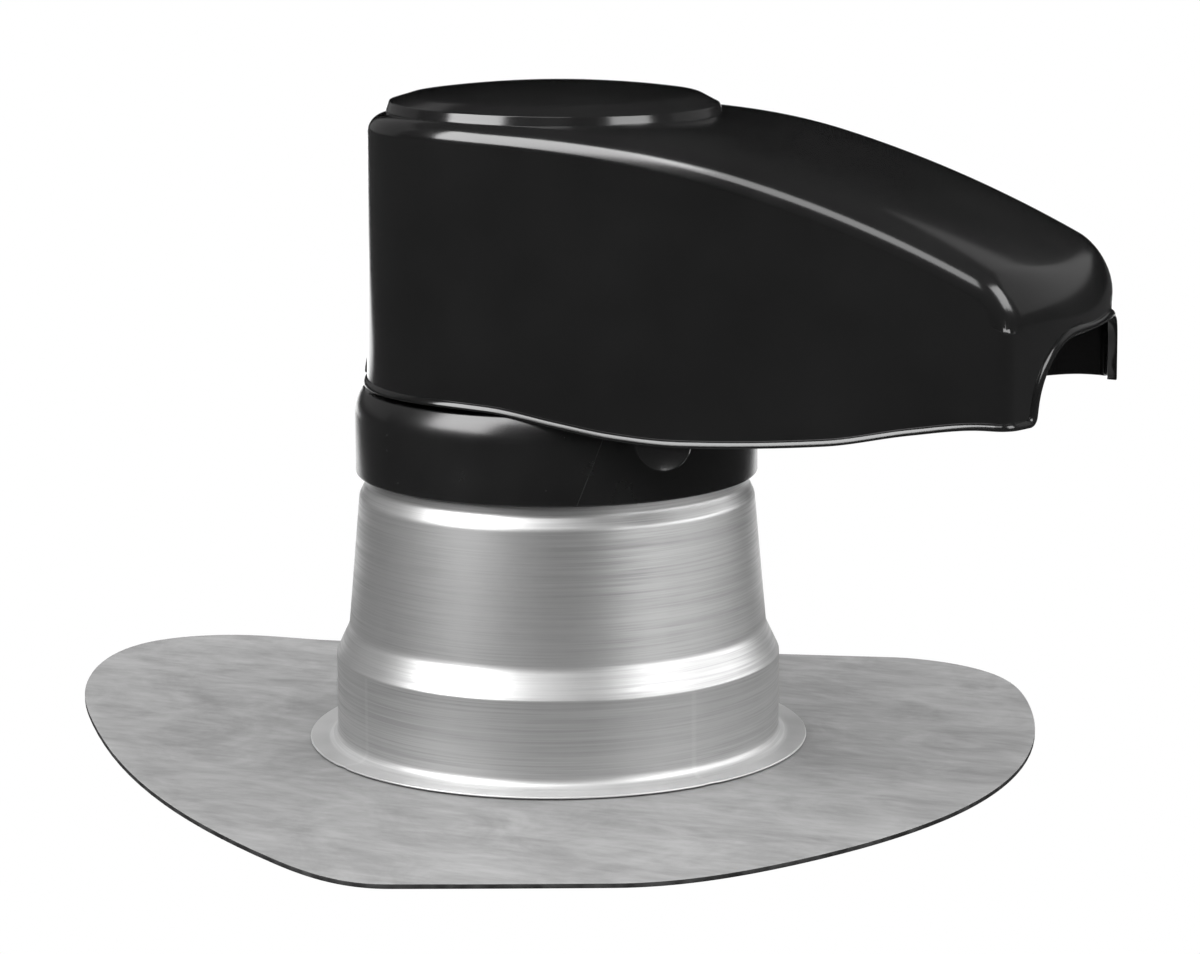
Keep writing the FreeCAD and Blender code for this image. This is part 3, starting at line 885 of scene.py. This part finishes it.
coneSizes = {
    "wall": 1.5, "flange": 112.5, "flangeTop": 3.5, "base": 100.0, "baseTop": 42.0,
    "shoulder": 94.1, "shoulderTop": 54.5, "taper": 88.7, "taperTop": 114.0,
    "neck": 86.0, "neckBottom": 119.5, "neckTop": 158.8,
    "rootRadius": 5.0, "baseEdge": 2.5, "shoulderRoot": 10.0, "taperEdge": 6.0, "neckRoot": 4.0, "lip": 0.5,
    # The flange's edge lifts a little from the sheet
    "edgeReach": 2.5, "edgeLift": 0.7, "edgeRounding": 0.3, "steps": 320,
    # Bearings of the two seams, and the nicks where they run out over the flange
    "seams": (-123.4, -30.1), "nickWidth": 1.6, "nickDepth": 0.7, "nickFrom": 4.0, "nickRoom": 1.0,
    "finish": {
        # Streaks left by spinning, from broad bands to hairs
        "streaks": [{"stretch": (7, 7, 330), "detail": 3, "weight": 0.25},
                    {"stretch": (12, 12, 1000), "detail": 3, "weight": 0.5},
                    {"stretch": (25, 25, 2600), "detail": 2, "weight": 0.25}],
        "toneRange": (0.40, 0.58), "dark": 0.29, "light": 0.42,
        "patches": [{"stretch": (1, 1, 0.7), "scale": 22, "detail": 4, "weight": 1.0}],
        "patchRange": (0.42, 0.7), "patchCover": 0.5, "patchTone": 0.42,
        "seamHalf": 1.8, "seamCover": 0.22, "seamTone": 0.52,
        # The flange keeps the duller face of the rolled sheet
        "dullTo": 3.4, "brightFrom": 9.0, "flangeMetal": 0.5, "wallMetal": 0.82,
        "roughRange": (0.35, 0.62), "rough": (0.48, 0.39), "bump": 0.12, "bumpHeight": 0.12,
        "anisotropic": 0.15, "quarterTurn": 0.25,
    },
}


def makeCone():
    size = coneSizes
    wall = size["wall"]
    shoulderLean = math.atan2(size["base"] - size["shoulder"], size["shoulderTop"] - size["baseTop"])
    taperLean = math.atan2(size["shoulder"] - size["taper"], size["taperTop"] - size["shoulderTop"])
    neckLean = math.atan2(size["taper"] - size["neck"], size["neckBottom"] - size["taperTop"])

    def inner(radius, height, below, above):
        # The wall's inside corner lies on the bisector of the two runs that meet there
        half = (above - below) / 2
        mean = (above + below) / 2
        reach = wall / math.cos(half)
        return radius - reach * math.cos(mean), height - reach * math.sin(mean)

    outside = [
        (size["base"], size["flangeTop"], size["rootRadius"]),
        (size["base"], size["baseTop"], size["baseEdge"]),
        (size["shoulder"], size["shoulderTop"], size["shoulderRoot"]),
        (size["taper"], size["taperTop"], size["taperEdge"]),
        (size["neck"], size["neckBottom"], size["neckRoot"]),
    ]
    inside = [
        (*inner(size["neck"], size["neckBottom"], neckLean, 0), size["neckRoot"] + wall),
        (*inner(size["taper"], size["taperTop"], taperLean, neckLean), size["taperEdge"] - wall),
        (*inner(size["shoulder"], size["shoulderTop"], shoulderLean, taperLean), size["shoulderRoot"] + wall),
        (*inner(size["base"], size["baseTop"], 0, shoulderLean), size["baseEdge"] - wall),
        (size["base"] - wall, size["flangeTop"] - wall, size["rootRadius"] + wall),
    ]
    under = size["flangeTop"] - wall
    lip = size["lip"]
    edge = [
        (size["flange"] - size["edgeReach"], under, 0),
        (size["flange"], under + size["edgeLift"], size["edgeRounding"]),
        (size["flange"], size["flangeTop"], lip),
    ]
    top = [(size["neck"], size["neckTop"], lip), (size["neck"] - wall, size["neckTop"], lip)]
    cone = turnPiece("spun_cone", roundedSection(edge + outside + top + inside), size["steps"])
    nickStart = size["base"] + size["nickFrom"]
    for vertex in cone.data.vertices:
        radius = math.hypot(vertex.co.x, vertex.co.y) / mm
        if vertex.co.z / mm > size["flangeTop"] + size["nickRoom"] or radius < nickStart:
            continue
        bearing = math.degrees(math.atan2(vertex.co.y, vertex.co.x))
        share = (radius - nickStart) / (size["flange"] - nickStart)
        nick = sum(math.exp(-((bearing - seam) / size["nickWidth"]) ** 2) for seam in size["seams"])
        scale = 1 - nick * share * size["nickDepth"] / radius
        vertex.co.x *= scale
        vertex.co.y *= scale
    return cone


def spunAluminium(finish):
    material, tree, shader = newFinish("spunAluminium")
    streaks = addLayers(tree, finish["streaks"])
    patches = addLayers(tree, finish["patches"])
    tone = toneFrom(tree, streaks, finish)
    cover = addRange(tree, patches, *finish["patchRange"], 0.0, finish["patchCover"])
    tone = addMix(tree, cover, tone, grey(finish["patchTone"]))
    for seam in coneSizes["seams"]:
        line = addUprightLine(tree, seam, 0, 0, finish["seamHalf"], coneSizes["baseTop"])
        line = addMath(tree, "MULTIPLY", line, finish["seamCover"])
        tone = addMix(tree, line, tone, grey(finish["seamTone"]))
    tree.links.new(tone, shader.inputs["Base Color"])
    place = tree.nodes.new("ShaderNodeSeparateXYZ")
    tree.links.new(addStretch(tree, (1, 1, 1)), place.inputs[0])
    metal = addRange(tree, place.outputs["Z"], finish["dullTo"] * mm, finish["brightFrom"] * mm,
                     finish["flangeMetal"], finish["wallMetal"], smooth=True)
    tree.links.new(metal, shader.inputs["Metallic"])
    roughFrom(tree, shader, streaks, finish)
    bumpFrom(tree, shader, streaks, finish)
    # Highlights spread across the spinning marks, which run round the axis
    shader.inputs["Anisotropic"].default_value = finish["anisotropic"]
    shader.inputs["Anisotropic Rotation"].default_value = finish["quarterTurn"]
    tangent = tree.nodes.new("ShaderNodeTangent")
    tangent.direction_type = "RADIAL"
    tangent.axis = "Z"
    tree.links.new(tangent.outputs["Tangent"], shader.inputs["Tangent"])
    return material


spunCone = makeCone()
finishPiece(spunCone, "flashing_cone", "spun_aluminium", spunAluminium(coneSizes["finish"]))


# Sheet

sheetSizes = {
    "hole": 95.0, "holeMargin": 5.0, "thickness": 2.0, "edge": 0.2, "edgeRows": 5, "edgeFacing": 0.7,
    "columns": 540, "rings": 30, "smoothAngle": 50,
    # Flat near the cone, then slightly lifted in two waves that cross
    "flatTo": 118.0, "liftRun": 90.0, "lift": 0.5, "waveShare": 0.6, "waveX": 61.0, "waveStart": 0.4,
    "waveY": 73.0, "crossShare": 0.4, "crossX": 97.0, "crossY": 39.0,
    "finish": {
        # Clouds, smears and fine rubbing
        "layers": [{"stretch": (1, 1.3, 1), "turn": 20, "scale": 16, "detail": 7,
                    "roughness": 0.68, "swirl": 1.4, "weight": 0.45},
                   {"stretch": (16, 46, 20), "turn": 14, "detail": 6,
                    "roughness": 0.7, "swirl": 0.8, "weight": 0.35},
                   {"stretch": (60, 240, 60), "turn": 6, "detail": 3, "weight": 0.2}],
        "toneRange": (0.40, 0.60), "dark": 0.115, "light": 0.182,
        "roughRange": (0.35, 0.65), "rough": (0.62, 0.50), "bump": 0.15, "bumpHeight": 0.3,
    },
    # The side faces take the same kind of pattern in a far darker tone than the top
    "edgeFinish": {
        "layers": [{"stretch": (1, 1, 1), "scale": 120, "detail": 4, "weight": 1.0}],
        "toneRange": (0.4, 0.65), "dark": 0.010, "light": 0.028,
        "roughRange": (0.35, 0.65), "rough": (0.55, 0.75), "bump": 0.2, "bumpHeight": 0.2,
    },
}


def sheetReach():
    # Bearing and reach of the sheet's outline, read from its node
    places = []
    for vertex in frame["nodes"]["flashing_sheet"].data.vertices:
        reach = math.hypot(vertex.co.x, vertex.co.y) / mm
        if reach > sheetSizes["hole"] + sheetSizes["holeMargin"]:
            places.append((math.atan2(vertex.co.y, vertex.co.x), reach))
    places.sort()
    merged = []
    sameBearing = 1e-5
    for bearing, reach in places:
        if not merged or bearing - merged[-1][0] > sameBearing:
            merged.append((bearing, reach))
    first = merged[0]
    last = merged[-1]
    return [(last[0] - 2 * math.pi, last[1])] + merged + [(first[0] + 2 * math.pi, first[1])]


def reachAt(outline, bearing):
    # Where the ray at this bearing crosses the straight piece between two outline points
    i = 1
    while outline[i][0] < bearing and i < len(outline) - 1:
        i += 1
    start = heading(outline[i - 1][0]) * outline[i - 1][1]
    end = heading(outline[i][0]) * outline[i][1]
    way = heading(bearing)
    run = end - start
    return (start.x * run.y - start.y * run.x) / (way.x * run.y - way.y * run.x)


def sheetLift(x, y):
    size = sheetSizes
    grow = smoothStep((math.hypot(x, y) - size["flatTo"]) / size["liftRun"])
    wave = size["waveShare"] * math.sin(x / size["waveX"] + size["waveStart"]) * math.cos(y / size["waveY"])
    cross = size["crossShare"] * math.sin(y / size["crossY"] - x / size["crossX"])
    return size["lift"] * grow * (1 + wave + cross)


def makeSheet():
    outline = sheetReach()
    hole = sheetSizes["hole"]
    edge = sheetSizes["edge"]
    edgeRows = sheetSizes["edgeRows"]
    thickness = sheetSizes["thickness"]
    rings = sheetSizes["rings"]
    columns = []
    for i in range(sheetSizes["columns"]):
        bearing = -math.pi + 2 * math.pi * i / sheetSizes["columns"]
        way = heading(bearing)
        reach = reachAt(outline, bearing)
        radii = [hole + (reach - edge - hole) * (k / rings) for k in range(rings + 1)]
        top = [(radius, thickness) for radius in radii]
        bend = []
        for k in range(1, edgeRows + 1):
            turn = math.pi / 2 * k / edgeRows
            bend.append((reach - edge + edge * math.sin(turn), thickness - edge + edge * math.cos(turn)))
        lower = [(radius, thickness - height) for radius, height in bend[::-1]]
        bottom = [(radius, 0) for radius in radii[::-1]]
        rows = top + bend + lower + bottom + top[:1]
        column = []
        for radius, height in rows:
            x, y = way * radius
            column.append(Vector((x, y, height + sheetLift(x, y))))
        columns.append(column)
    return wrapGrid("roof_sheet", columns + columns[:1], sheetSizes["smoothAngle"])


roofSheet = makeSheet()
sheetRubber = layeredFinish("sheetRubber", sheetSizes["finish"])
cutEdge = layeredFinish("cutEdge", sheetSizes["edgeFinish"])
finishPiece(roofSheet, "flashing_sheet", "sheet_rubber", sheetRubber, cutEdge)
# Faces that stand upright get the far darker side tone
for face in roofSheet.data.polygons:
    if abs(face.normal.z) < sheetSizes["edgeFacing"]:
        face.material_index = 1


# Floor, light and camera

# Sizes and places in metres, the floor's drop in millimetres
stageSettings = {
    "floorSize": 60.0, "floorDrop": 0.3, "target": (0, 0, 0.25),
    # Floor and sky are white to the camera; the light rays meet a dark floor and a brighter sky
    "shown": 1.0, "lit": 0.02, "worldShown": 1.0, "worldLight": 2.7,
}
cameraSettings = {
    "place": (0.64828, -1.44949, 0.42599), "turn": 23.4, "down": 10.9, "roll": -0.24,
    "lens": 108.0, "sensor": 36.0,
}
# Bearings are counted to the right from the camera's side of the part; a fill is never mirrored
lightSettings = {
    "leftBox": {"bearing": -58, "rise": 34, "distance": 1.7, "size": (1.15, 1.37), "radiance": 12.0},
    "topBox": {"bearing": -12, "rise": 49, "distance": 1.8, "size": (1.05, 0.6), "radiance": 5.5},
    "rightBox": {"bearing": 57, "rise": 32, "distance": 1.6, "size": (0.75, 0.74), "radiance": 7.0},
    "metalCard": {"bearing": 76, "rise": 8, "distance": 1.7, "size": (3.2, 0.6), "radiance": 4.6,
                  "only": "spun_cone"},
    "backRight": {"bearing": 122, "rise": 25, "distance": 2.0, "size": (2.1, 1.05), "radiance": 0.3},
    "backLeft": {"bearing": -136, "rise": 20, "distance": 2.0, "size": (2.0, 1.4), "radiance": 0.2},
    "rightFill": {"bearing": 85, "rise": 32, "distance": 1.8, "size": (1.6, 1.2), "radiance": 6.0,
                  "fills": True},
    "leftFill": {"bearing": -60, "rise": 50, "distance": 1.8, "size": (1.4, 1.4), "radiance": 3.2,
                 "fills": True},
}
# Cards that lie on the floor behind the part, mirrored where its edges turn away
lowCards = {
    "nearCard": {"near": 0.3, "far": 0.95, "width": 0.8, "radiance": 1.6},
    "farCard": {"near": 0.95, "far": 9.0, "width": 1.5, "radiance": 2.2},
}
cardHeight = 0.003


def fromCamera(bearing, rise, distance):
    # A place round the target, with bearings counted from the camera's side
    level = distance * math.cos(math.radians(rise))
    turn = math.radians(cameraSettings["turn"] + bearing - 90)
    place = Vector((level * math.cos(turn), level * math.sin(turn), distance * math.sin(math.radians(rise))))
    return place + Vector(stageSettings["target"])


def addLight(name, place, size, radiance, fills=False):
    # A fill lights matt colour only, and the others are only mirrored
    startFresh()
    bpy.ops.object.light_add(type="AREA", location=place)
    light = bpy.context.object
    light.name = name
    light.data.shape = "RECTANGLE"
    light.data.size, light.data.size_y = size
    light.data.energy = radiance * math.pi * size[0] * size[1]
    light.rotation_euler = (Vector(stageSettings["target"]) - place).to_track_quat("-Z", "Y").to_euler()
    light.visible_camera = False
    light.visible_glossy = not fills
    light.visible_diffuse = fills
    return light


def makeFloor():
    startFresh()
    place = (0, 0, -stageSettings["floorDrop"] * mm)
    bpy.ops.mesh.primitive_plane_add(size=stageSettings["floorSize"], location=place)
    floor = nameLast("floor")
    material = bpy.data.materials.new("paleFloor")
    material.use_nodes = True
    tree = material.node_tree
    tree.nodes.clear()
    output = tree.nodes.new("ShaderNodeOutputMaterial")
    path = tree.nodes.new("ShaderNodeLightPath")
    shown = tree.nodes.new("ShaderNodeEmission")
    shown.inputs["Strength"].default_value = stageSettings["shown"]
    lit = tree.nodes.new("ShaderNodeBsdfDiffuse")
    lit.inputs["Color"].default_value = (*grey(stageSettings["lit"]), 1)
    mix = tree.nodes.new("ShaderNodeMixShader")
    tree.links.new(path.outputs["Is Camera Ray"], mix.inputs[0])
    tree.links.new(lit.outputs[0], mix.inputs[1])
    tree.links.new(shown.outputs[0], mix.inputs[2])
    tree.links.new(mix.outputs[0], output.inputs["Surface"])
    floor.data.materials.append(material)


def makeWorld():
    world = bpy.data.worlds.new("studio")
    world.use_nodes = True
    tree = world.node_tree
    background = tree.nodes["Background"]
    path = tree.nodes.new("ShaderNodeLightPath")
    background.inputs["Color"].default_value = (*grey(1), 1)
    strength = addRange(tree, path.outputs["Is Camera Ray"], 0, 1,
                        stageSettings["worldLight"], stageSettings["worldShown"])
    tree.links.new(strength, background.inputs["Strength"])
    world.cycles_visibility.glossy = False
    bpy.context.scene.world = world


def makeLights():
    for name, light in lightSettings.items():
        place = fromCamera(light["bearing"], light["rise"], light["distance"])
        lamp = addLight(name, place, light["size"], light["radiance"], light.get("fills", False))
        if "only" in light:
            lamp.light_linking.receiver_collection = bpy.data.collections.new(name)
            lamp.light_linking.receiver_collection.objects.link(bpy.data.objects[light["only"]])
    for name, card in lowCards.items():
        place = fromCamera(180, 0, (card["near"] + card["far"]) / 2)
        place.z = cardHeight
        light = addLight(name, place, (card["width"], card["far"] - card["near"]), card["radiance"])
        light.rotation_euler = (math.pi, 0, math.radians(cameraSettings["turn"]))


def makeCamera():
    startFresh()
    bpy.ops.object.camera_add(location=cameraSettings["place"])
    camera = bpy.context.object
    turn = Matrix.Rotation(math.radians(cameraSettings["turn"]), 4, "Z")
    down = Matrix.Rotation(math.radians(90 - cameraSettings["down"]), 4, "X")
    roll = Matrix.Rotation(math.radians(cameraSettings["roll"]), 4, "Z")
    camera.rotation_euler = (turn @ down @ roll).to_euler()
    camera.data.lens = cameraSettings["lens"]
    camera.data.sensor_width = cameraSettings["sensor"]
    bpy.context.scene.camera = camera


makeFloor()
makeWorld()
makeLights()
makeCamera()
bpy.context.scene.view_settings.view_transform = "Standard"
print("stage ready")
